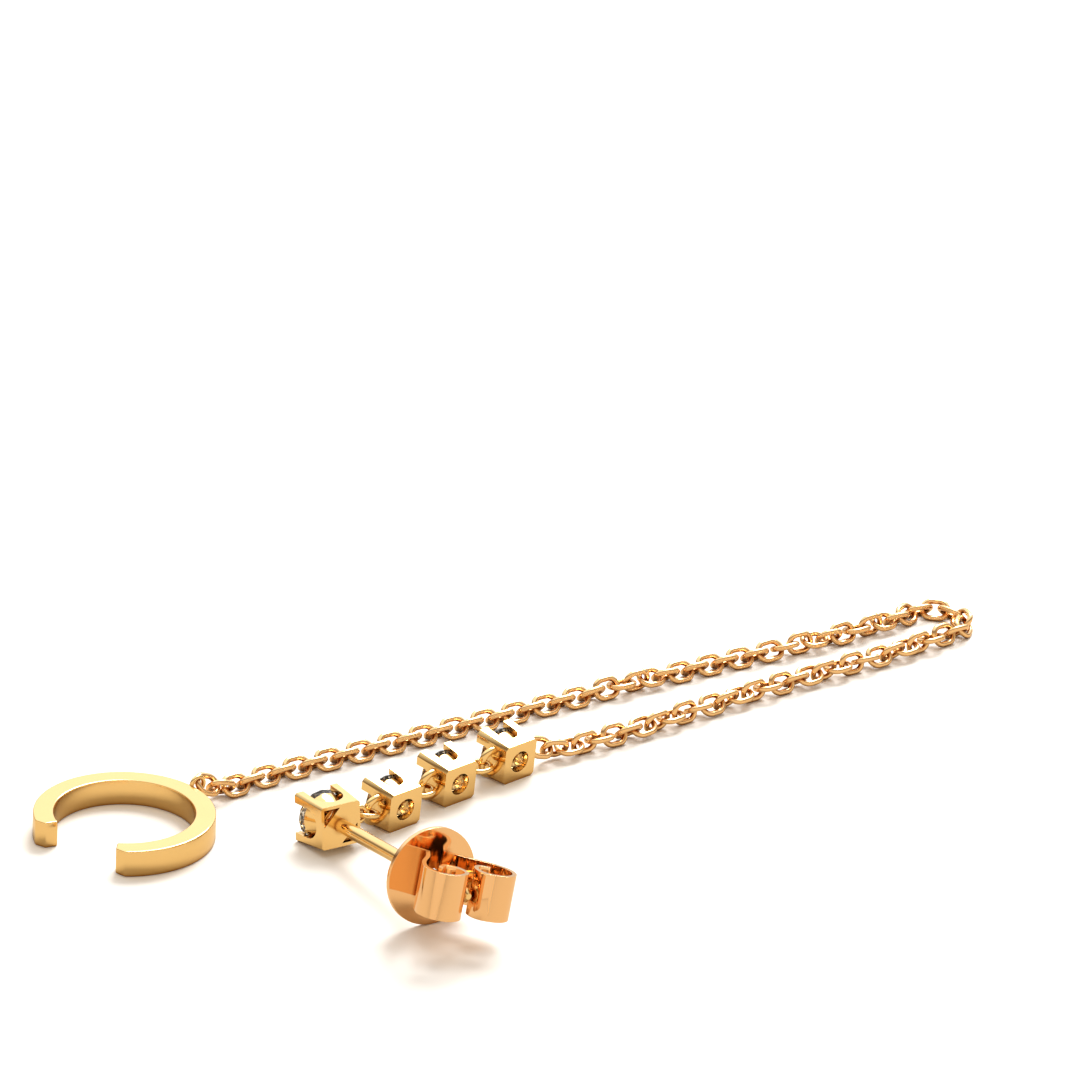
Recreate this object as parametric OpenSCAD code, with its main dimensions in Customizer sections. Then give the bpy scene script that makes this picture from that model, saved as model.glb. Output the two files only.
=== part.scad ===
// Ear chain earring, lying as it rests on a table: an open ear cuff, a fine
// cable chain, three small stone settings and a stud with its scroll back.
// Millimetres. +X runs along the chain's length, +Y away from the viewer, +Z up.
// The table is z = 0 and the origin is the middle of the whole piece's outline.

/* [Ear cuff] */

// Outside diameter of the ear cuff
cuff_diameter = 11; // [9.5:0.5:12]
// Height of the cuff's band
cuff_height = 1.67; // [1.4:0.01:2.4]
// Thickness of the cuff's band
cuff_wall = 1.24; // [0.9:0.01:1.5]
// Direction of the first arm's end, in degrees round the cuff
cuff_start = -91; // [-100:1:-75]
// Degrees of a full turn that the band covers
cuff_sweep = 297; // [250:1:310]
// Where the soldered loop sits, in degrees round the cuff
cuff_loop_angle = 48; // [30:1:60]

/* [Chain] */

// Distance from one link to the next
link_pitch = 1.17; // [1.16:0.01:1.2]
// Outside width of a link
link_width = 1.54; // [1.5:0.01:1.56]
// Wire thickness of a link
link_wire = 0.34; // [0.3:0.01:0.35]
// Play between two links that are pulled apart
link_play = 0.18; // [0.16:0.01:0.2]
// Direction of the first link, in degrees from +X
chain_start_angle = 44; // [40:1:48]

/* [Small settings] */

// Side of the square base plate
small_base = 2.6; // [2.4:0.05:2.8]
// Side of the square mouth that holds the stone
small_mouth = 3; // [2.95:0.01:3.1]
// Depth of the setting from base plate to mouth
small_depth = 2.45; // [2.4:0.05:2.7]
// Diameter of the round hole in the base plate
small_hole = 1.42; // [1:0.02:1.6]
// Diameter of the stone
small_stone = 2.86; // [2.6:0.02:2.88]

/* [Stud] */

// Side of the square base plate
stud_base = 2.7; // [2.6:0.05:2.9]
// Side of the square mouth that holds the stone
stud_mouth = 3.12; // [3.05:0.01:3.3]
// Depth of the setting from base plate to mouth
stud_depth = 2.74; // [2.6:0.02:3]
// Diameter of the stone
stud_stone = 3.2; // [2.9:0.02:3.2]
// Thickness of the ear post
post_diameter = 0.86; // [0.8:0.02:1]
// Length of the ear post
post_length = 14.2; // [13:0.1:15]

/* [Scroll back] */

// Diameter of the round disc
disc_diameter = 5.94; // [5:0.02:6.4]
// Thickness of the round disc
disc_thickness = 0.3; // [0.25:0.05:0.5]
// Distance of the disc along the post from the base plate
back_distance = 10.06; // [9:0.02:10.6]
// Height of the rolled strip
strip_height = 2.8; // [2.4:0.1:3.2]
// Thickness of the rolled strip
strip_thickness = 0.26; // [0.22:0.02:0.3]
// How far the scroll back is turned round the post, in degrees
back_turn = 13.8; // [0:0.2:30]

/* [Hidden] */

$fn = 48;

// Plan position of the cuff's centre, which puts the outline's middle at the origin.
cuff_place = [-23.68, -12.31];

// Wall of the settings, thickness of their base plates and running play.
collet_wall = 0.4;
plate_thickness = 0.4;
post_play = 0.05;
stone_play = 0.04;

// Soldered rings: mean radius and wire of each kind.
cuff_loop_radius = 0.5;
cuff_loop_wire = 0.29;
side_loop_radius = 0.46;
side_loop_wire = 0.3;
small_loop_reach = 0.32;
stud_loop_reach = 0.42;
bail_radius = 0.8;
bail_wire = 0.46;
bail_leg = 0.16;
bail_root = 0.2;
bail_hold = 0.5;
jump_radius = 0.78;
jump_wire = 0.32;

// Cut of the settings' four long edges, as a share of their side, and their claws.
small_corner = 1.3;
stud_corner = 1.35;
claw_radius = 0.3;
claw_inset = 0.45;

// The cup round a stone, in stone diameters: how far below the girdle it ends and
// the radius of its rim there. Its foot's radius is in millimetres.
cup_drop = 0.09;
cup_rim = 0.455;
small_cup_foot = 1.03;
stud_cup_foot = 0.85;

// Windows in the side walls: their width, and how far below the base plate's
// face they begin in the right, top, left and bottom walls.
small_window = 1.4;
small_window_tops = [1.2, 0.7, 1.2, 0.9];
stud_window = 1.9;
stud_window_tops = [1.25, 0.55, 0.55, 0.9];

// The opening in one corner of the stud's base plate, the ear post's two ends
// and the steps round a window's arch.
stud_corner_cut = [[-1.15, 1.15], [-0.05, 1.15], [-1.15, 0.05]];
corner_slack = 0.1;
post_root = 0.1;
post_tip = 0.25;
slot_steps = 10;

// How far behind the base plate the loops are soldered to a setting.
loop_depth = 1;

// Cuff sizes: its walls, the bevel of its arm ends and where its loop is soldered.
cuff_outer = cuff_diameter / 2;
cuff_inner = cuff_outer - cuff_wall;
arm_ridge = cuff_outer - 0.45;
arm_bevel_angle = 6.5;
cuff_loop_gap = 0.04;
cuff_loop_drop = 0.17;
cuff_loop_out = cuff_outer + cuff_loop_radius + cuff_loop_gap;
cuff_loop_centre = [
    cuff_place[0] + cuff_loop_out * cos(cuff_loop_angle),
    cuff_place[1] + cuff_loop_out * sin(cuff_loop_angle),
    cuff_height - cuff_loop_drop
];

// How far a cut runs past the faces that it goes through.
cut_slack = 1;

// The chain as it lies. Each row is [links, turn, twist]: how many links, and
// how far each one turns in plan and rolls about its own length, in degrees,
// against the link before it, over and above the quarter turn of a cable chain.
RUN_LINKS = 0;
RUN_TURN = 1;
RUN_TWIST = 2;
chain_runs = [
    [8, -1.1, 0],
    [18, -0.05, 0],
    [5, 0.2, 18],
    [7, -0.7, 0],
    [9, 1.1, 20],
    [1, 18, 0],
    [6, -32.5, 0],
    [9, -0.8, -15],
    [12, 0.4, -15],
    [9, -0.8, -15]
];
first_roll = 45;
back_links = 48;
turns = [for (run = chain_runs) for (k = [1:run[RUN_LINKS]]) run[RUN_TURN]];
twists = [for (run = chain_runs) for (k = [1:run[RUN_LINKS]]) run[RUN_TWIST]];
link_count = len(turns);

function sum_to(list, last) = last < 0 ? 0 : list[last] + sum_to(list, last - 1);

headings = [for (i = [0:link_count - 1]) chain_start_angle + sum_to(turns, i) - turns[0]];
rolls = [for (i = [0:link_count - 1]) first_roll + 90 * i + sum_to(twists, i)];

// A link's wire centre line: two half circles joined by short straights.
link_bend = (link_width - link_wire) / 2;
link_straight = (link_pitch + link_play + link_wire) / 2 - link_bend;
link_overhang = (link_play + link_wire) / 2;
wire_sides = 6;
bend_steps = 6;

// Height of a link's centre when the link lies on the table at this roll.
function rest_height(roll) =
    link_wire / 2 + link_bend * max(abs(sin(roll)), abs(cos(roll)));

function lying_height(j) =
    max(
        rest_height(rolls[max(j - 1, 0)]),
        rest_height(rolls[min(j, link_count - 1)])
    );

// The first and last two joints climb to the loops that the chain hangs from.
function joint_height(j) =
    j == 0 ? cuff_loop_centre[2] :
    j == 1 ? (cuff_loop_centre[2] + lying_height(2)) / 2 :
    j == link_count - 1 ? (small_loop_height + lying_height(j - 1)) / 2 :
    j == link_count ? small_loop_height :
    lying_height(j);

function level_run(length, rise) = sqrt(length * length - rise * rise);

function next_joint(p, i) =
    let (z = joint_height(i + 1))
    let (run = level_run(link_pitch, z - p[2]))
    [p[0] + run * cos(headings[i]), p[1] + run * sin(headings[i]), z];

function joint_list(p, i) =
    i == link_count ? [p] : concat([p], joint_list(next_joint(p, i), i + 1));

// A direction [across, up, out] of a setting, turned and tilted, in the whole piece's axes.
function turned(v, turn, tilt) =
    v[0] * [cos(turn), sin(turn), 0] +
    v[1] * [-sin(turn) * sin(tilt), cos(turn) * sin(tilt), cos(tilt)] +
    v[2] * [sin(turn) * cos(tilt), -cos(turn) * cos(tilt), sin(tilt)];

// A small setting lies on one side; the stud rests on its mouth and on the disc's rim.
small_tilt = -atan((small_mouth - small_base) / 2 / small_depth);
small_height = small_base / 2 * cos(small_tilt);
small_loop_height = small_height - loop_depth * sin(small_tilt);
stud_rise = (disc_diameter - stud_mouth) / 2;
stud_run = stud_depth + back_distance - disc_thickness / 2;
stud_tilt = atan(stud_rise / stud_run);
stud_height = stud_depth * sin(stud_tilt) + stud_mouth / 2 * cos(stud_tilt);

function half_at(base, mouth, depth, z) = (base + (mouth - base) * z / depth) / 2;

small_side = half_at(small_base, small_mouth, small_depth, loop_depth);
stud_side = half_at(stud_base, stud_mouth, stud_depth, loop_depth);

// Centre of a setting's right-hand loop, and the place in its left-hand bail
// where a jump ring lies, both from the middle of the base plate's outer face.
small_loop = [small_side + small_loop_reach, 0, -loop_depth];
stud_loop = [stud_side + stud_loop_reach, 0, -loop_depth];
small_bail = [-(small_side + bail_leg + bail_radius - bail_hold), 0, -loop_depth];

// Plan directions: the facing of each setting, and that of the jump ring to its left.
small_facing = 45;
stud_facing = 34.4;
ring_angles = [60, 64, 47];

chain_joints = joint_list(
    cuff_loop_centre + link_overhang * [cos(headings[0]), sin(headings[0]), 0], 0
);
chain_end = chain_joints[link_count]
    + link_overhang * [cos(headings[link_count - 1]), sin(headings[link_count - 1]), 0];

// Where a ring's left side lies when its right side is at p and its left side at height z.
function ring_left(p, angle, z) =
    let (run = level_run(2 * jump_radius, z - p[2]))
    [p[0] - run * cos(angle), p[1] - run * sin(angle), z];

stud_loop_height = stud_height + turned(stud_loop, stud_facing, stud_tilt)[2];

// Each setting hangs from the one on its right, the third from the chain's end.
place_3 = chain_end - turned(small_loop, small_facing, small_tilt);
ring_right_3 = place_3 + turned(small_bail, small_facing, small_tilt);
ring_left_3 = ring_left(ring_right_3, ring_angles[2], small_loop_height);
place_2 = ring_left_3 - turned(small_loop, small_facing, small_tilt);
ring_right_2 = place_2 + turned(small_bail, small_facing, small_tilt);
ring_left_2 = ring_left(ring_right_2, ring_angles[1], small_loop_height);
place_1 = ring_left_2 - turned(small_loop, small_facing, small_tilt);
ring_right_1 = place_1 + turned(small_bail, small_facing, small_tilt);
ring_left_1 = ring_left(ring_right_1, ring_angles[0], stud_loop_height);
stud_place = ring_left_1 - turned(stud_loop, stud_facing, stud_tilt);

// Half of the strip's bent profile, from the disc outwards and rolled back to the
// post: [distance from the disc's middle plane, distance from the post's axis].
strip_path = [
    [0.1, 0.6],
    [1.2, 1.3],
    [2.4, 2.35],
    [3.6, 2.85],
    [4.6, 2.6],
    [5.05, 1.8],
    [4.75, 0.95],
    [4.2, 0.58],
    [3.4, 0.68],
    [2.95, 1.2],
    [3.3, 1.75]
];
strip_steps = 5;

// How far the strip's middle stands above the post's axis.
strip_rise = 0.15;

gold = [0.86, 0.66, 0.38];
rose = [0.86, 0.6, 0.4];
clear = [0.92, 0.94, 0.96];

// A round wire ring lying flat round the origin.
module wire_ring(radius, wire) {
    rotate_extrude()
        translate([radius, 0])
            circle(d = wire);
}

function polar(radius, angle) = radius * [cos(angle), sin(angle)];

// Two points of the cut past an arm end: its ridge and, far out, its outer bevel's line.
// Turn is -1 at the first arm and 1 at the second.
function arm_cut(angle, turn) =
    let (ridge = polar(arm_ridge, angle))
    let (outer = polar(cuff_outer, angle - turn * arm_bevel_angle))
    [ridge, ridge + 3 * (outer - ridge)];

// The opening between the arms, with the outer corner of each arm end bevelled.
module cuff_opening() {
    last = cuff_start + cuff_sweep;
    translate([0, 0, -cut_slack])
        linear_extrude(cuff_height + 2 * cut_slack)
            polygon(concat(
                [[0, 0]],
                arm_cut(last, 1),
                [polar(cuff_diameter, (last + cuff_start + 360) / 2)],
                [arm_cut(cuff_start, -1)[1], arm_cut(cuff_start, -1)[0]]
            ));
}

// The open band with its bevelled arm ends and the soldered loop.
module ear_cuff() {
    color(gold)
    union() {
        translate([cuff_place[0], cuff_place[1], 0])
            difference() {
                cylinder(d = cuff_diameter, h = cuff_height);
                translate([0, 0, -cut_slack])
                    cylinder(r = cuff_inner, h = cuff_height + 2 * cut_slack);
                cuff_opening();
            }
        translate(cuff_loop_centre)
            rotate([90, 0, cuff_loop_angle])
                wire_ring(cuff_loop_radius, cuff_loop_wire);
    }
}

// Centre and outward direction of the wire at each step round a link.
function wire_place(k) =
    let (right = k <= bend_steps)
    let (step = right ? k : k - 1)
    let (angle = -90 + 180 * step / bend_steps)
    let (side = right ? link_straight : -link_straight)
    [[side + link_bend * cos(angle), link_bend * sin(angle)], [cos(angle), sin(angle)]];

wire_places = [for (k = [0:2 * bend_steps + 1]) wire_place(k)];
wire_points = [
    for (place = wire_places)
        for (s = [0:wire_sides - 1])
            let (out = link_wire / 2 * cos(360 * s / wire_sides))
            [
                place[0][0] + out * place[1][0],
                place[0][1] + out * place[1][1],
                link_wire / 2 * sin(360 * s / wire_sides)
            ]
];

function wire_index(k, s) = (k % len(wire_places)) * wire_sides + s % wire_sides;

wire_faces = [
    for (k = [0:len(wire_places) - 1])
        for (s = [0:wire_sides - 1])
            [wire_index(k, s), wire_index(k, s + 1), wire_index(k + 1, s + 1), wire_index(k + 1, s)]
];

// One oval link lying flat, its length along X.
module link() {
    polyhedron(points = wire_points, faces = wire_faces, convexity = 4);
}

// The links from one number to another, each between its two joints.
module links(first, last) {
    for (i = [first:last]) {
        along = chain_joints[i + 1] - chain_joints[i];
        translate((chain_joints[i] + chain_joints[i + 1]) / 2)
            rotate([rolls[i], -asin(along[2] / link_pitch), headings[i]])
                link();
    }
}

module chain_back() {
    color(gold) links(0, back_links - 1);
}

module chain_front() {
    color(gold) links(back_links, link_count - 1);
}

// A four-sided block whose side grows from base at z = 0 to mouth at z = -depth.
module taper_block(base, mouth, depth) {
    outline = [
        [-base / 2, 0],
        [base / 2, 0],
        [mouth / 2, -depth],
        [-mouth / 2, -depth]
    ];
    intersection() {
        rotate([90, 0, 0])
            linear_extrude(height = 2 * mouth, center = true)
                polygon(outline);
        rotate([90, 0, 90])
            linear_extrude(height = 2 * mouth, center = true)
                polygon(outline);
    }
}

// Outline of a slot with one round end, open below: half width and height of its top.
function slot_outline(half, top, bottom) = concat(
    [[half, bottom], [-half, bottom]],
    [for (k = [0:slot_steps]) half * [-cos(180 * k / slot_steps), sin(180 * k / slot_steps)]
        + [0, top - half]]
);

// A round-ended slot through the wall on the +X side, open at the mouth.
module side_window(width, top, depth) {
    rotate([90, 0, 90])
        linear_extrude(height = depth)
            polygon(slot_outline(width / 2, -top, -depth - 1));
}

// The space that the stone fills, with a little play all round it.
module stone_seat(diameter, girdle) {
    outer = diameter / 2 + stone_play;
    rotate_extrude()
        polygon([
            [0, girdle + 0.43 * diameter + stone_play],
            [outer, girdle + stone_play],
            [outer, girdle - 0.03 * diameter - stone_play],
            [0.285 * diameter, girdle - 0.18 * diameter - stone_play],
            [0.285 * diameter, girdle - diameter],
            [0, girdle - diameter]
        ]);
}

// Height of the top of a stone's girdle inside a setting.
function girdle_height(depth, diameter) = 0.1 + 0.15 * diameter - depth;

// A square, tapered stone setting: thin walls with a window in each side, a round
// cup inside them and rounded claws at the four corners. Its base plate faces +Z.
module collet(base, mouth, depth, corner, window, window_tops, stone, cup_foot) {
    growth = (mouth - base) / depth;
    hollow = base - 2 * collet_wall;
    claw_place = mouth / 2 - claw_inset;
    girdle = girdle_height(depth, stone);
    cup_top = girdle + cup_drop * stone;
    difference() {
        union() {
            difference() {
                union() {
                    intersection() {
                        taper_block(base, mouth, depth);
                        rotate([0, 0, 45])
                            taper_block(corner * base, corner * mouth, depth);
                    }
                    for (x = [-claw_place, claw_place])
                        for (y = [-claw_place, claw_place])
                            translate([x, y, claw_radius / 2 - depth])
                                sphere(r = claw_radius);
                }
                translate([0, 0, -plate_thickness])
                    taper_block(
                        hollow + growth * plate_thickness,
                        hollow + growth * (depth + 1),
                        depth + 1 - plate_thickness
                    );
                for (side = [0:3])
                    rotate([0, 0, 90 * side])
                        side_window(window, window_tops[side], depth);
            }
            translate([0, 0, cup_top])
                cylinder(r1 = cup_rim * stone, r2 = cup_foot, h = -cup_top - plate_thickness / 2);
        }
        stone_seat(stone, girdle);
    }
}

// The small ring in the upright plane through the setting's middle.
module right_loop(place) {
    translate(place)
        wire_ring(side_loop_radius, side_loop_wire);
}

// The large half-round bail on the left-hand wall, with two short legs.
module left_bail(side) {
    translate([-side - bail_leg, 0, -loop_depth]) {
        rotate([0, 0, 90])
            rotate_extrude(angle = 180)
                translate([bail_radius, 0])
                    circle(d = bail_wire);
        for (y = [-bail_radius, bail_radius])
            translate([0, y, 0])
                rotate([0, 90, 0])
                    cylinder(d = bail_wire, h = bail_leg + bail_root);
    }
}

module place_setting(place, facing, tilt) {
    translate(place)
        rotate([90 - tilt, 0, facing])
            children();
}

// A small setting with its pierced base plate, bail and loop.
module small_setting(place) {
    color(gold)
    place_setting(place, small_facing, small_tilt)
        union() {
            difference() {
                collet(
                    small_base, small_mouth, small_depth, small_corner,
                    small_window, small_window_tops, small_stone, small_cup_foot
                );
                translate([0, 0, -small_depth])
                    cylinder(d = small_hole, h = small_depth + cut_slack);
            }
            right_loop(small_loop);
            left_bail(small_side);
        }
}

// A cut stone: eight-sided table, sixteen-sided girdle and a pointed pavilion.
module stone(diameter, girdle) {
    radius = diameter / 2;
    table = 0.285 * diameter;
    crown = 0.42 * diameter;
    crown_top = girdle - 0.18 * diameter;
    crown_low = girdle - 0.03 * diameter;
    culet = girdle + 0.43 * diameter;
    crown_slope = (crown_low - crown_top) / (radius - table);
    crown_middle = crown_top + (crown * cos(22.5) - table) * crown_slope;
    lower = 0.16 * diameter;
    lower_middle = culet + lower * cos(22.5) * (girdle - culet) / radius;
    points = concat(
        [for (k = [0:7]) [table * cos(45 * k), table * sin(45 * k), crown_top]],
        [for (k = [0:7]) [crown * cos(45 * k + 22.5), crown * sin(45 * k + 22.5), crown_middle]],
        [for (k = [0:15]) [radius * cos(22.5 * k), radius * sin(22.5 * k), crown_low]],
        [for (k = [0:15]) [radius * cos(22.5 * k), radius * sin(22.5 * k), girdle]],
        [for (k = [0:7]) [lower * cos(45 * k + 22.5), lower * sin(45 * k + 22.5), lower_middle]],
        [[0, 0, culet]]
    );
    faces = concat(
        [[for (k = [0:7]) k]],
        [for (k = [0:7]) [(k + 1) % 8, k, 8 + k]],
        [for (k = [0:7]) [k, 8 + (k + 7) % 8, 16 + 2 * k, 8 + k]],
        [for (k = [0:7]) [8 + k, 16 + 2 * k, 17 + 2 * k]],
        [for (k = [0:7]) [8 + k, 17 + 2 * k, 16 + (2 * k + 2) % 16]],
        [for (k = [0:15]) [16 + k, 32 + k, 32 + (k + 1) % 16, 16 + (k + 1) % 16]],
        [for (k = [0:7]) [32 + 2 * k, 48 + k, 33 + 2 * k]],
        [for (k = [0:7]) [33 + 2 * k, 48 + k, 32 + (2 * k + 2) % 16]],
        [for (k = [0:7]) [32 + 2 * k, 48 + (k + 7) % 8, 56, 48 + k]]
    );
    polyhedron(points = points, faces = faces, convexity = 2);
}

module small_stone_at(place) {
    color(clear)
    place_setting(place, small_facing, small_tilt)
        stone(small_stone, girdle_height(small_depth, small_stone));
}

// A jump ring whose two sides lie at the points given.
module jump_ring(left, right) {
    across = right - left;
    color(gold)
    translate((left + right) / 2)
        rotate([0, -asin(across[2] / norm(across)), atan2(across[1], across[0])])
            wire_ring(norm(across) / 2, jump_wire);
}

// The stud: its setting, the post soldered to the base plate, and its loop.
module stud_setting() {
    color(gold)
    place_setting(stud_place, stud_facing, stud_tilt)
        union() {
            difference() {
                collet(
                    stud_base, stud_mouth, stud_depth, stud_corner,
                    stud_window, stud_window_tops, stud_stone, stud_cup_foot
                );
                for (turn = [0, 180])
                    rotate([0, 0, turn])
                        translate([0, 0, -plate_thickness - corner_slack])
                            linear_extrude(height = plate_thickness + 2 * corner_slack)
                                polygon(stud_corner_cut);
            }
            translate([0, 0, -post_root])
                cylinder(d = post_diameter, h = post_root + post_length - post_tip);
            translate([0, 0, post_length - post_tip])
                cylinder(d1 = post_diameter, d2 = post_diameter - 2 * post_tip, h = post_tip);
            right_loop(stud_loop);
        }
}

module main_stone() {
    color(clear)
    place_setting(stud_place, stud_facing, stud_tilt)
        stone(stud_stone, girdle_height(stud_depth, stud_stone));
}

// A smooth curve through the path's points, several steps between each pair.
function path_at(path, i, t) =
    let (p0 = path[max(i - 1, 0)])
    let (p1 = path[i])
    let (p2 = path[i + 1])
    let (p3 = path[min(i + 2, len(path) - 1)])
    (2 * p1 + (p2 - p0) * t + (2 * p0 - 5 * p1 + 4 * p2 - p3) * t * t
        + (3 * p1 - p0 - 3 * p2 + p3) * t * t * t) / 2;

strip_curve = concat(
    [
        for (i = [0:len(strip_path) - 2])
            for (k = [0:strip_steps - 1])
                path_at(strip_path, i, k / strip_steps)
    ],
    [strip_path[len(strip_path) - 1]]
);

function unit(v) = v / norm(v);

function curve_normal(k) =
    let (ahead = strip_curve[min(k + 1, len(strip_curve) - 1)])
    let (behind = strip_curve[max(k - 1, 0)])
    let (along = unit(ahead - behind))
    [-along[1], along[0]];

strip_outline = concat(
    [
        for (k = [0:len(strip_curve) - 1])
            strip_curve[k] + curve_normal(k) * strip_thickness / 2
    ],
    [
        for (k = [len(strip_curve) - 1:-1:0])
            strip_curve[k] - curve_normal(k) * strip_thickness / 2
    ]
);

// One rolled wing of the strip, on the +X side of the post.
module wing() {
    translate([0, strip_rise, 0])
        rotate([90, 0, 0])
            linear_extrude(height = strip_height, center = true)
                polygon([for (p = strip_outline) [p[1], p[0]]]);
}

// The scroll back: a round disc and two rolled wings that grip the post.
module scroll_back() {
    color(rose)
    place_setting(stud_place, stud_facing, stud_tilt)
        translate([0, 0, back_distance])
            rotate([0, 0, -back_turn])
                difference() {
                    union() {
                        translate([0, 0, -disc_thickness / 2])
                            cylinder(d = disc_diameter, h = disc_thickness);
                        wing();
                        mirror([1, 0, 0])
                            wing();
                    }
                    translate([0, 0, -1])
                        cylinder(d = post_diameter + 2 * post_play, h = 8);
                }
}

ear_cuff();
chain_back();
chain_front();
small_setting(place_1);  // small_setting_1
small_setting(place_2);  // small_setting_2
small_setting(place_3);  // small_setting_3
small_stone_at(place_1);  // small_stone_1
small_stone_at(place_2);  // small_stone_2
small_stone_at(place_3);  // small_stone_3
jump_ring(ring_left_1, ring_right_1);  // jump_ring_1
jump_ring(ring_left_2, ring_right_2);  // jump_ring_2
jump_ring(ring_left_3, ring_right_3);  // jump_ring_3
stud_setting();
main_stone();
scroll_back();
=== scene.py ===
"""An ear chain earring on a white table: polished gold, cut stones and a rosier scroll back.

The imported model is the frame. The chain's links, the ear cuff and the jump rings are
rebuilt here with round wire and softened edges; the soldered settings and the scroll
back are softened copies of the frame's solids; the stones are the frame's own.
"""

import logging
import math
from dataclasses import dataclass, field
from enum import Enum

import bmesh
import bpy
import numpy as np
from mathutils import Matrix, Vector


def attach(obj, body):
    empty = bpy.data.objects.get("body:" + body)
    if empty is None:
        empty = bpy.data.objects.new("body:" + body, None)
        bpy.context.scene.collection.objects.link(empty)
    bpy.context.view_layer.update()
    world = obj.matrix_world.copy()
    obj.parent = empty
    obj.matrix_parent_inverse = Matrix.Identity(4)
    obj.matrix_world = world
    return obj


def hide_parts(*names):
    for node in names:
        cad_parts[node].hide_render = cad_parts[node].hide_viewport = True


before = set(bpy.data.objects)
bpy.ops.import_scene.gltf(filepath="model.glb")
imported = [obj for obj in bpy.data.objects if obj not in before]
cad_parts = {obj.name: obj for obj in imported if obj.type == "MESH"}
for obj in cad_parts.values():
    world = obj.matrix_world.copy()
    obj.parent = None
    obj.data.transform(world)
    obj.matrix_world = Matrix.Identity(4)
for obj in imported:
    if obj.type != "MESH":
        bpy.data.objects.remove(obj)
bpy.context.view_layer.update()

MM = 0.001
WELD_DISTANCE = 0.0002 * MM
FLAT_ANGLE = math.radians(0.8)
SHARP_ANGLE = math.radians(35.0)
FACE_WEIGHT = 50
log = logging.getLogger("earring")

Point = tuple[float, float, float]
Colour = tuple[float, float, float]


class Body(Enum):
    """The rigid bodies of the frame."""

    EARRING = "earring"
    SCROLL_BACK = "scroll_back"


class Slot(Enum):
    """The record's material slots."""

    GOLD = "gold"
    ROSE_GOLD = "rose_gold"
    STONE = "stone"


# Finishes, with painted shade in the golds and a painted reflection tone on the table


class NodeGraph:
    """A thin wrapper that adds nodes to a tree and links them by socket."""

    def __init__(self, tree: bpy.types.NodeTree) -> None:
        """Starts from an existing tree."""
        self.tree = tree

    def add(self, kind: str, **settings: object) -> bpy.types.Node:
        """Adds one node and sets the named properties on it.

        Args:
            kind: The node's type name.
            **settings: Properties of the node, not its sockets.

        Returns:
            The new node.
        """
        node = self.tree.nodes.new(kind)
        for name, value in settings.items():
            setattr(node, name, value)
        return node

    def link(self, source: bpy.types.NodeSocket, target: bpy.types.NodeSocket) -> None:
        """Links one socket to another."""
        self.tree.links.new(source, target)


class HandPolish:
    """The faint waviness and bloom that hand polishing leaves on small gold pieces."""

    NAME = "hand_polish"
    WAVE_SCALE = 420.0
    WAVE_DETAIL = 1.0
    BLOOM_SCALE = 900.0
    BLOOM_DETAIL = 3.0
    LEAST_ROUGH = 0.7
    MOST_ROUGH = 1.3

    def group(self) -> bpy.types.NodeTree:
        """Builds the shared group once.

        Returns:
            A group that outputs a roughness value and a bump height.
        """
        if self.NAME in bpy.data.node_groups:
            return bpy.data.node_groups[self.NAME]
        tree = bpy.data.node_groups.new(self.NAME, "ShaderNodeTree")
        face = tree.interface
        face.new_socket("Roughness", in_out="INPUT", socket_type="NodeSocketFloat")
        face.new_socket("Roughness", in_out="OUTPUT", socket_type="NodeSocketFloat")
        face.new_socket("Height", in_out="OUTPUT", socket_type="NodeSocketFloat")
        graph = NodeGraph(tree)
        given = graph.add("NodeGroupInput")
        result = graph.add("NodeGroupOutput")
        place = graph.add("ShaderNodeTexCoord")
        wave = graph.add("ShaderNodeTexNoise")
        wave.inputs["Scale"].default_value = self.WAVE_SCALE
        wave.inputs["Detail"].default_value = self.WAVE_DETAIL
        bloom = graph.add("ShaderNodeTexNoise")
        bloom.inputs["Scale"].default_value = self.BLOOM_SCALE
        bloom.inputs["Detail"].default_value = self.BLOOM_DETAIL
        spread = graph.add("ShaderNodeMapRange")
        spread.inputs["To Min"].default_value = self.LEAST_ROUGH
        spread.inputs["To Max"].default_value = self.MOST_ROUGH
        product = graph.add("ShaderNodeMath", operation="MULTIPLY")
        graph.link(place.outputs["Object"], wave.inputs["Vector"])
        graph.link(place.outputs["Object"], bloom.inputs["Vector"])
        graph.link(bloom.outputs["Fac"], spread.inputs["Value"])
        graph.link(spread.outputs["Result"], product.inputs[0])
        graph.link(given.outputs["Roughness"], product.inputs[1])
        graph.link(product.outputs["Value"], result.inputs["Roughness"])
        graph.link(wave.outputs["Fac"], result.inputs["Height"])
        return tree


class CreaseShade:
    """A mask for painted shade: where corners, holes and the contact with the table hold back the
    light, the base colour is painted darker.
    """

    NAME = "crease_shade"
    SAMPLES = 8
    OPEN = 0.95
    DEEP = 0.35

    def group(self) -> bpy.types.NodeTree:
        """Builds the shared group once.

        Returns:
            A group that outputs a mask, 1 in the deepest creases and 0 in the open.
        """
        if self.NAME in bpy.data.node_groups:
            return bpy.data.node_groups[self.NAME]
        tree = bpy.data.node_groups.new(self.NAME, "ShaderNodeTree")
        face = tree.interface
        face.new_socket("Reach", in_out="INPUT", socket_type="NodeSocketFloat")
        face.new_socket("Mask", in_out="OUTPUT", socket_type="NodeSocketFloat")
        graph = NodeGraph(tree)
        given = graph.add("NodeGroupInput")
        result = graph.add("NodeGroupOutput")
        shade = graph.add("ShaderNodeAmbientOcclusion", samples=self.SAMPLES)
        ramp = graph.add("ShaderNodeMapRange", interpolation_type="SMOOTHSTEP")
        ramp.inputs["From Min"].default_value = self.OPEN
        ramp.inputs["From Max"].default_value = self.DEEP
        graph.link(given.outputs["Reach"], shade.inputs["Distance"])
        graph.link(shade.outputs["AO"], ramp.inputs["Value"])
        graph.link(ramp.outputs["Result"], result.inputs["Mask"])
        return tree


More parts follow.
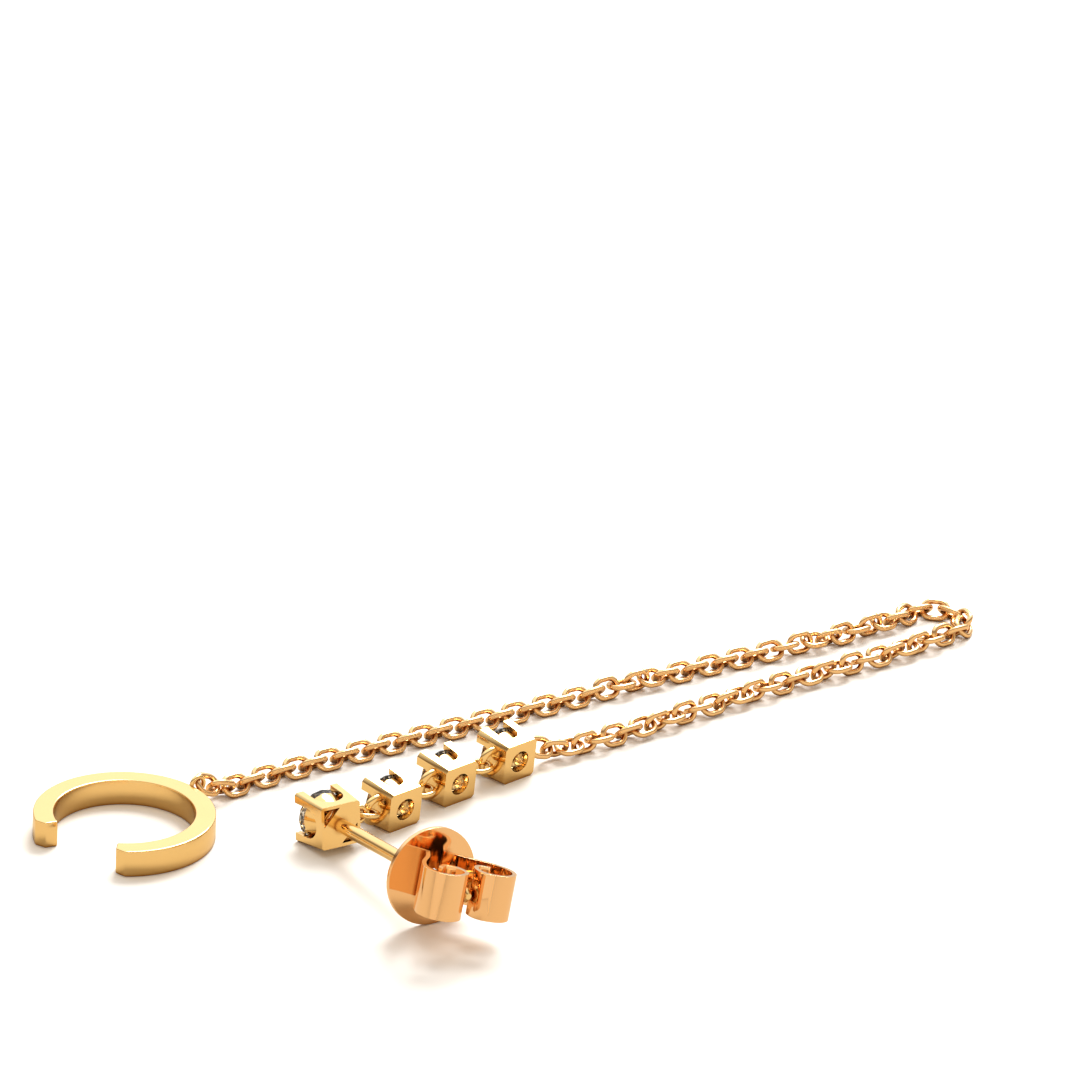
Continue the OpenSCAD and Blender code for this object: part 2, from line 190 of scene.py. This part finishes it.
@dataclass(frozen=True)
class PolishedGold:
    """Polished gold of one alloy, with painted shade: its base colour darkens to a second tone in
    creases, holes and at the table contact.
    """

    name: str
    colour: Colour
    # The painted shade tone, mixed into the base colour where the crease mask finds creases and
    # table contact.
    painted_shade_tone: Colour
    roughness: float = 0.12
    wave: float = 0.04
    wave_depth: float = 0.05 * MM
    painted_shade_reach: float = 0.4 * MM

    def material(self) -> bpy.types.Material:
        """Builds the metal, or returns it where it is already built."""
        if self.name in bpy.data.materials:
            return bpy.data.materials[self.name]
        made = bpy.data.materials.new(self.name)
        made.use_nodes = True
        graph = NodeGraph(made.node_tree)
        shader = made.node_tree.nodes["Principled BSDF"]
        shader.inputs["Metallic"].default_value = 1.0
        # Painted shade: the crease mask blends the base colour towards the painted shade tone.
        shade = graph.add("ShaderNodeGroup", node_tree=CreaseShade().group())
        shade.inputs["Reach"].default_value = self.painted_shade_reach
        tone = graph.add("ShaderNodeMix", data_type="RGBA")
        tone.inputs["A"].default_value = (*self.colour, 1.0)
        tone.inputs["B"].default_value = (*self.painted_shade_tone, 1.0)
        polish = graph.add("ShaderNodeGroup", node_tree=HandPolish().group())
        polish.inputs["Roughness"].default_value = self.roughness
        bump = graph.add("ShaderNodeBump")
        bump.inputs["Strength"].default_value = self.wave
        bump.inputs["Distance"].default_value = self.wave_depth
        graph.link(shade.outputs["Mask"], tone.inputs["Factor"])
        graph.link(tone.outputs["Result"], shader.inputs["Base Color"])
        graph.link(polish.outputs["Roughness"], shader.inputs["Roughness"])
        graph.link(polish.outputs["Height"], bump.inputs["Height"])
        graph.link(bump.outputs["Normal"], shader.inputs["Normal"])
        return made


@dataclass(frozen=True)
class CutStone:
    """A clear, strongly refracting cut stone."""

    name: str = "cut_stone"
    colour: Colour = (0.97, 0.98, 1.0)
    index: float = 2.2

    def material(self) -> bpy.types.Material:
        """Builds the stone's material, or returns it where it is already built."""
        if self.name in bpy.data.materials:
            return bpy.data.materials[self.name]
        made = bpy.data.materials.new(self.name)
        made.use_nodes = True
        shader = made.node_tree.nodes["Principled BSDF"]
        shader.inputs["Base Color"].default_value = (*self.colour, 1.0)
        shader.inputs["Roughness"].default_value = 0.0
        shader.inputs["IOR"].default_value = self.index
        shader.inputs["Transmission Weight"].default_value = 1.0
        return made


@dataclass(frozen=True)
class WhiteTable:
    """The seamless white surface under the earring, with a painted reflection: glossy rays off the
    metal see it in a darker, warmer tone than the camera does.
    """

    name: str = "white_table"
    colour: Colour = (0.93, 0.925, 0.915)
    painted_reflection_tone: Colour = (0.56, 0.49, 0.38)
    roughness: float = 0.75
    gloss: float = 0.1

    def material(self) -> bpy.types.Material:
        """Builds the table's matt finish, with the painted reflection tone for glossy rays."""
        made = bpy.data.materials.new(self.name)
        made.use_nodes = True
        graph = NodeGraph(made.node_tree)
        shader = made.node_tree.nodes["Principled BSDF"]
        shader.inputs["Roughness"].default_value = self.roughness
        shader.inputs["Specular IOR Level"].default_value = self.gloss
        # Painted reflection: glossy rays see the table in the darker, warmer painted reflection
        # tone; camera rays see its white.
        path = graph.add("ShaderNodeLightPath")
        tone = graph.add("ShaderNodeMix", data_type="RGBA")
        tone.inputs["A"].default_value = (*self.colour, 1.0)
        tone.inputs["B"].default_value = (*self.painted_reflection_tone, 1.0)
        graph.link(path.outputs["Is Glossy Ray"], tone.inputs["Factor"])
        graph.link(tone.outputs["Result"], shader.inputs["Base Color"])
        return made


# The second colour of each gold is its painted shade tone for creases and table contact.
YELLOW_GOLD = PolishedGold("yellow_gold", (0.95, 0.67, 0.3), (0.5, 0.24, 0.06))
LINK_GOLD = PolishedGold("link_gold", (0.94, 0.62, 0.31), (0.45, 0.2, 0.06), roughness=0.18)
RED_GOLD = PolishedGold("red_gold", (0.95, 0.6, 0.31), (0.5, 0.2, 0.05), roughness=0.07)


# Meshes


@dataclass
class MeshData:
    """Vertices in metres and faces, gathered piece by piece."""

    points: list[Point] = field(default_factory=list)
    faces: list[tuple[int, ...]] = field(default_factory=list)

    def add_rings(self, rings: np.ndarray, closed: bool = True) -> None:
        """Adds a skin over equal rings of points, each ring closed on itself.

        Args:
            rings: Points of shape (rings, points in a ring, 3).
            closed: Whether the last ring joins the first.
        """
        count, sides = rings.shape[:2]
        base = len(self.points)
        self.points += [tuple(p) for p in rings.reshape(-1, 3)]
        for i in range(count if closed else count - 1):
            a = base + i * sides
            b = base + (i + 1) % count * sides
            for j in range(sides):
                k = (j + 1) % sides
                self.faces.append((a + j, b + j, b + k, a + k))

    def to_object(self, name: str, smooth: bool = True) -> bpy.types.Object:
        """Makes a mesh object of what was gathered.

        Args:
            name: The object's name.
            smooth: Whether its faces are shaded smooth.

        Returns:
            The object, linked to the scene.
        """
        mesh = bpy.data.meshes.new(name)
        mesh.from_pydata(self.points, [], self.faces)
        mesh.polygons.foreach_set("use_smooth", [smooth] * len(mesh.polygons))
        mesh.update()
        made = bpy.data.objects.new(name, mesh)
        bpy.context.scene.collection.objects.link(made)
        return made


def wire_rings(
    path: np.ndarray, outward: np.ndarray, up: Vector, radius: float, sides: int
) -> np.ndarray:
    """Round wire sections along a flat closed path.

    Args:
        path: Points of the wire's centre line, shape (n, 3).
        outward: Unit directions away from the path's middle, shape (n, 3).
        up: Unit normal of the path's plane.
        radius: Wire radius.
        sides: Points round the wire.

    Returns:
        Points of shape (n, sides, 3).
    """
    angles = np.linspace(0.0, 2.0 * math.pi, sides, endpoint=False)
    across = np.cos(angles)[None, :, None] * outward[:, None, :]
    along_up = np.sin(angles)[None, :, None] * np.array(up)[None, None, :]
    return path[:, None, :] + radius * (across + along_up)


def dressed(
    obj: bpy.types.Object, material: bpy.types.Material, slot: Slot, body: Body, *nodes: str
) -> None:
    """Gives a piece its material and lets it ride its body in place of CAD nodes.

    Args:
        obj: The piece.
        material: Its only material.
        slot: Not used.
        body: The body that carries it.
        *nodes: CAD nodes that it stands for.
    """
    obj.data.materials.clear()
    obj.data.materials.append(material)
    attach(obj, body.value)
    if nodes:
        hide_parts(*nodes)
    log.info("%s: %d faces, %s", obj.name, len(obj.data.polygons), material.name)


def soften(obj: bpy.types.Object, width: float, segments: int) -> None:
    """Rounds a piece's sharp edges and keeps its flat faces flat in the light.

    Args:
        obj: The piece.
        width: Width of the rounding, in metres.
        segments: Steps across the rounding.
    """
    rounding = obj.modifiers.new("rounding", "BEVEL")
    rounding.width = width
    rounding.segments = segments
    rounding.limit_method = "ANGLE"
    rounding.angle_limit = SHARP_ANGLE
    shading = obj.modifiers.new("shading", "WEIGHTED_NORMAL")
    shading.weight = FACE_WEIGHT


def softened_copy(node: str, name: str, bevel: float, segments: int = 3) -> bpy.types.Object:
    """A copy of a CAD node with its flat faces made whole and its edges rounded.

    Args:
        node: The CAD node.
        name: Name of the copy.
        bevel: Width of the rounding, in metres.
        segments: Steps across the rounding.

    Returns:
        The copy, linked to the scene.
    """
    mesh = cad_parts[node].data.copy()
    solid = bmesh.new()
    solid.from_mesh(mesh)
    bmesh.ops.remove_doubles(solid, verts=solid.verts, dist=WELD_DISTANCE)
    bmesh.ops.dissolve_limit(
        solid, angle_limit=FLAT_ANGLE, verts=solid.verts, edges=solid.edges
    )
    for face in solid.faces:
        face.smooth = True
    solid.to_mesh(mesh)
    solid.free()
    made = bpy.data.objects.new(name, mesh)
    bpy.context.scene.collection.objects.link(made)
    soften(made, bevel, segments)
    return made


# Pieces


@dataclass
class ChainStrand:
    """One strand of the cable chain, dressed link by link where the frame's links lie."""

    node: str
    width: float = 1.57 * MM
    length: float = 2.06 * MM
    wire: float = 0.37 * MM
    bend_steps: int = 16
    wire_sides: int = 14

    def link_frames(self) -> list[Matrix]:
        """Where each of the strand's links lies, read from the CAD node's loose solids.

        Returns:
            One matrix a link: X along its length, Y across it and Z out of its plane.
        """
        solid = bmesh.new()
        solid.from_mesh(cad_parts[self.node].data)
        bmesh.ops.remove_doubles(solid, verts=solid.verts, dist=WELD_DISTANCE)
        solid.verts.ensure_lookup_table()
        left = set(solid.verts)
        frames = []
        while left:
            stack = [left.pop()]
            island = []
            while stack:
                vert = stack.pop()
                island.append(vert.co.copy())
                for edge in vert.link_edges:
                    other = edge.other_vert(vert)
                    if other in left:
                        left.remove(other)
                        stack.append(other)
            frames.append(self.frame_of(np.array([list(co) for co in island])))
        solid.free()
        return frames

    @staticmethod
    def frame_of(points: np.ndarray) -> Matrix:
        """The frame of one link, from the spread of its points.

        Args:
            points: The link's vertices, shape (n, 3).

        Returns:
            A matrix with the link's three directions and its centre.
        """
        centre = points.mean(axis=0)
        _, axes = np.linalg.eigh(np.cov((points - centre).T))
        along, normal = axes[:, 2], axes[:, 0]
        across = np.cross(normal, along)
        made = Matrix.Identity(4)
        for column, axis in enumerate((along, across, normal, centre)):
            for row in range(3):
                made[row][column] = float(axis[row])
        return made

    def link_rings(self) -> np.ndarray:
        """Wire sections of one link lying flat round the origin."""
        bend = (self.width - self.wire) / 2.0
        straight = (self.length - self.wire) / 2.0 - bend
        path, outward = [], []
        for side, first in ((1.0, -0.5), (-1.0, 0.5)):
            for step in range(self.bend_steps + 1):
                angle = math.pi * (first + step / self.bend_steps)
                out = (math.cos(angle), math.sin(angle), 0.0)
                path.append((side * straight + bend * out[0], bend * out[1], 0.0))
                outward.append(out)
        up = Vector((0.0, 0.0, 1.0))
        return wire_rings(np.array(path), np.array(outward), up, self.wire / 2.0, self.wire_sides)

    def build(self) -> bpy.types.Object:
        """Builds and dresses the strand.

        Returns:
            One object that holds all its links.
        """
        rings = self.link_rings()
        flat = np.concatenate([rings, np.ones((*rings.shape[:2], 1))], axis=2)
        mesh = MeshData()
        for place in self.link_frames():
            mesh.add_rings((flat @ np.array(place).T)[..., :3])
        made = mesh.to_object(self.node + "_links")
        dressed(made, LINK_GOLD.material(), Slot.GOLD, Body.EARRING, self.node)
        return made


@dataclass
class EarCuff:
    """The open C-shaped band with softened edges and the loop soldered to it."""

    centre: Point = (-23.68 * MM, -12.31 * MM, 0.0)
    outer: float = 5.5 * MM
    wall: float = 1.24 * MM
    height: float = 1.67 * MM
    start: float = -91.0
    sweep: float = 297.0
    bevel_turn: float = 6.5
    bevel_depth: float = 0.45 * MM
    steps: int = 180
    edge: float = 0.1 * MM
    loop_angle: float = 48.0
    loop_out: float = 6.04 * MM
    loop_height: float = 1.5 * MM
    loop_radius: float = 0.5 * MM
    loop_wire: float = 0.29 * MM
    loop_steps: int = 48
    wire_sides: int = 16

    def arc(self, radius: float, first: float, last: float, steps: int) -> list[tuple[float, float]]:
        """Points (x, y) from one angle to another, both included, in degrees round the cuff."""
        angles = np.radians(np.linspace(first, last, steps) + self.start)
        x = self.centre[0] + radius * np.cos(angles)
        y = self.centre[1] + radius * np.sin(angles)
        return list(zip(x.tolist(), y.tolist()))

    def outline(self) -> list[tuple[float, float]]:
        """The band's plan outline: outer wall, the second arm's end, inner wall, the first's."""
        ridge = self.outer - self.bevel_depth
        return (
            self.arc(self.outer, self.bevel_turn, self.sweep - self.bevel_turn, self.steps)
            + self.arc(ridge, self.sweep, self.sweep, 1)
            + self.arc(self.outer - self.wall, self.sweep, 0.0, self.steps)
            + self.arc(ridge, 0.0, 0.0, 1)
        )

    def build(self) -> bpy.types.Object:
        """Builds and dresses the cuff.

        Returns:
            One object with the band and its loop.
        """
        plan = np.array(self.outline())
        count = len(plan)
        levels = [np.column_stack([plan, np.full(count, z)]) for z in (0.0, self.height)]
        mesh = MeshData()
        mesh.add_rings(np.array(levels), closed=False)
        mesh.faces.append(tuple(range(count)))
        mesh.faces.append(tuple(reversed(range(count, 2 * count))))
        angle = math.radians(self.loop_angle)
        radial = np.array((math.cos(angle), math.sin(angle), 0.0))
        middle = np.array(self.centre) + self.loop_out * radial
        middle = middle + np.array((0.0, 0.0, self.loop_height))
        turns = np.linspace(0.0, 2.0 * math.pi, self.loop_steps, endpoint=False)
        upward = np.array((0.0, 0.0, 1.0))
        outward = np.cos(turns)[:, None] * radial + np.sin(turns)[:, None] * upward
        side = Vector((math.sin(angle), -math.cos(angle), 0.0))
        path = middle + self.loop_radius * outward
        mesh.add_rings(wire_rings(path, outward, side, self.loop_wire / 2.0, self.wire_sides))
        made = mesh.to_object("ear_cuff_band")
        soften(made, self.edge, 3)
        dressed(made, YELLOW_GOLD.material(), Slot.GOLD, Body.EARRING, "ear_cuff")
        return made


@dataclass
class JumpRing:
    """A round wire ring that joins two settings."""

    node: str
    wire: float = 0.32 * MM
    steps: int = 48
    wire_sides: int = 16

    def build(self) -> bpy.types.Object:
        """Builds and dresses the ring where the frame's ring lies.

        Returns:
            The ring.
        """
        source = np.array([list(v.co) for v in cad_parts[self.node].data.vertices])
        centre = (source.min(axis=0) + source.max(axis=0)) / 2.0
        _, axes = np.linalg.eigh(np.cov((source - centre).T))
        up = axes[:, 0]
        first = axes[:, 2]
        second = np.cross(up, first)
        radius = np.linalg.norm(source - centre, axis=1).max() - self.wire / 2.0
        turns = np.linspace(0.0, 2.0 * math.pi, self.steps, endpoint=False)
        outward = np.cos(turns)[:, None] * first + np.sin(turns)[:, None] * second
        mesh = MeshData()
        path = centre + radius * outward
        mesh.add_rings(wire_rings(path, outward, Vector(up), self.wire / 2.0, self.wire_sides))
        made = mesh.to_object(self.node + "_wire")
        dressed(made, YELLOW_GOLD.material(), Slot.GOLD, Body.EARRING, self.node)
        return made


@dataclass
class Setting:
    """A soldered stone setting and the stone in it."""

    node: str
    stone: str
    bevel: float = 0.05 * MM

    def build(self) -> bpy.types.Object:
        """Builds the softened metal and dresses the stone.

        Returns:
            The metal.
        """
        metal = softened_copy(self.node, self.node + "_metal", self.bevel)
        dressed(metal, YELLOW_GOLD.material(), Slot.GOLD, Body.EARRING, self.node)
        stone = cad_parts[self.stone]
        stone.data.materials.clear()
        stone.data.materials.append(CutStone().material())
        return metal


@dataclass
class ScrollBack:
    """The round disc with its rolled wings."""

    node: str = "scroll_back"
    bevel: float = 0.04 * MM

    def build(self) -> bpy.types.Object:
        """Builds and dresses the scroll back.

        Returns:
            The metal.
        """
        metal = softened_copy(self.node, self.node + "_metal", self.bevel, segments=2)
        dressed(metal, RED_GOLD.material(), Slot.ROSE_GOLD, Body.SCROLL_BACK, self.node)
        return metal


# The studio


@dataclass
class PhotoCamera:
    """A long lens on the photo's side of the table, looking down and slightly rolled."""

    target: Point = (0.384 * MM, 35.984 * MM, 0.0)
    distance: float = 391.45 * MM
    elevation: float = 23.299
    roll: float = 3.0
    view_angle: float = 10.7
    clip_near: float = 0.01
    clip_far: float = 20.0

    def place(self) -> bpy.types.Object:
        """Adds the camera and makes it the scene's.

        Returns:
            The camera.
        """
        tilt = math.radians(self.elevation)
        roll = math.radians(self.roll)
        right = Vector((1.0, 0.0, 0.0))
        up = Vector((0.0, math.sin(tilt), math.cos(tilt)))
        back = Vector((0.0, -math.cos(tilt), math.sin(tilt)))
        columns = (
            math.cos(roll) * right + math.sin(roll) * up,
            -math.sin(roll) * right + math.cos(roll) * up,
            back,
        )
        lens = bpy.data.cameras.new("photo_camera")
        lens.angle = math.radians(self.view_angle)
        lens.clip_start = self.clip_near
        lens.clip_end = self.clip_far
        made = bpy.data.objects.new("photo_camera", lens)
        made.matrix_world = (
            Matrix.Translation(Vector(self.target) + self.distance * back)
            @ Matrix(columns).transposed().to_4x4()
        )
        bpy.context.scene.collection.objects.link(made)
        bpy.context.scene.camera = made
        return made


@dataclass
class Studio:
    """White table, a bright surround that darkens above the viewer, and one large softbox."""

    table_side: float = 3.0
    box_place: Point = (0.12, 0.42, 0.5)
    box_side: float = 0.34
    box_power: float = 5.0
    box_colour: Colour = (1.0, 0.985, 0.96)
    behind_share: float = 0.6
    above_share: float = 0.8
    front_at: float = 0.1
    front_tone: Colour = (0.72, 0.6, 0.45)
    dark_at: float = 0.45
    dark_tone: Colour = (0.12, 0.08, 0.05)
    bright_at: float = 0.78
    bright_tone: Colour = (1.0, 0.985, 0.955)
    surround_strength: float = 1.35

    def build(self) -> None:
        """Adds the table, the surround and the light."""
        half = self.table_side / 2.0
        corners = [(-half, -half, 0.0), (half, -half, 0.0), (half, half, 0.0), (-half, half, 0.0)]
        table = MeshData(corners, [(0, 1, 2, 3)]).to_object("table", smooth=False)
        table.data.materials.append(WhiteTable().material())
        self.surround()
        lamp = bpy.data.lights.new("softbox", "AREA")
        lamp.shape = "SQUARE"
        lamp.size = self.box_side
        lamp.energy = self.box_power
        lamp.color = self.box_colour
        made = bpy.data.objects.new("softbox", lamp)
        made.location = self.box_place
        made.rotation_euler = Vector(self.box_place).to_track_quat("Z", "Y").to_euler()
        bpy.context.scene.collection.objects.link(made)
        bpy.context.scene.view_settings.view_transform = "Standard"

    def surround(self) -> None:
        """Lights the scene from behind and from all sides, least from above the viewer."""
        world = bpy.data.worlds.new("surround")
        world.use_nodes = True
        bpy.context.scene.world = world
        graph = NodeGraph(world.node_tree)
        place = graph.add("ShaderNodeTexCoord")
        parts = graph.add("ShaderNodeSeparateXYZ")
        behind = graph.add("ShaderNodeMath", operation="MULTIPLY")
        behind.inputs[1].default_value = self.behind_share
        above = graph.add("ShaderNodeMath", operation="MULTIPLY_ADD")
        above.inputs[1].default_value = self.above_share
        ramp = graph.add("ShaderNodeValToRGB")
        front, bright = ramp.color_ramp.elements
        front.position = self.front_at
        front.color = (*self.front_tone, 1.0)
        bright.position = self.bright_at
        bright.color = (*self.bright_tone, 1.0)
        dark = ramp.color_ramp.elements.new(self.dark_at)
        dark.color = (*self.dark_tone, 1.0)
        shader = world.node_tree.nodes["Background"]
        shader.inputs["Strength"].default_value = self.surround_strength
        graph.link(place.outputs["Generated"], parts.inputs["Vector"])
        graph.link(parts.outputs["Y"], behind.inputs[0])
        graph.link(parts.outputs["Z"], above.inputs[0])
        graph.link(behind.outputs["Value"], above.inputs[2])
        graph.link(above.outputs["Value"], ramp.inputs["Fac"])
        graph.link(ramp.outputs["Color"], shader.inputs["Color"])


def main() -> None:
    """Builds the camera, the studio and every piece in order."""
    logging.basicConfig(level=logging.INFO, format="%(name)s: %(message)s")
    PhotoCamera().place()
    Studio().build()
    EarCuff().build()
    for node in ("chain_back", "chain_front"):
        ChainStrand(node).build()
    for number in (1, 2, 3):
        JumpRing(f"jump_ring_{number}").build()
        Setting(f"small_setting_{number}", f"small_stone_{number}").build()
    Setting("stud_setting", "main_stone").build()
    ScrollBack().build()


if __name__ == "__main__":
    main()
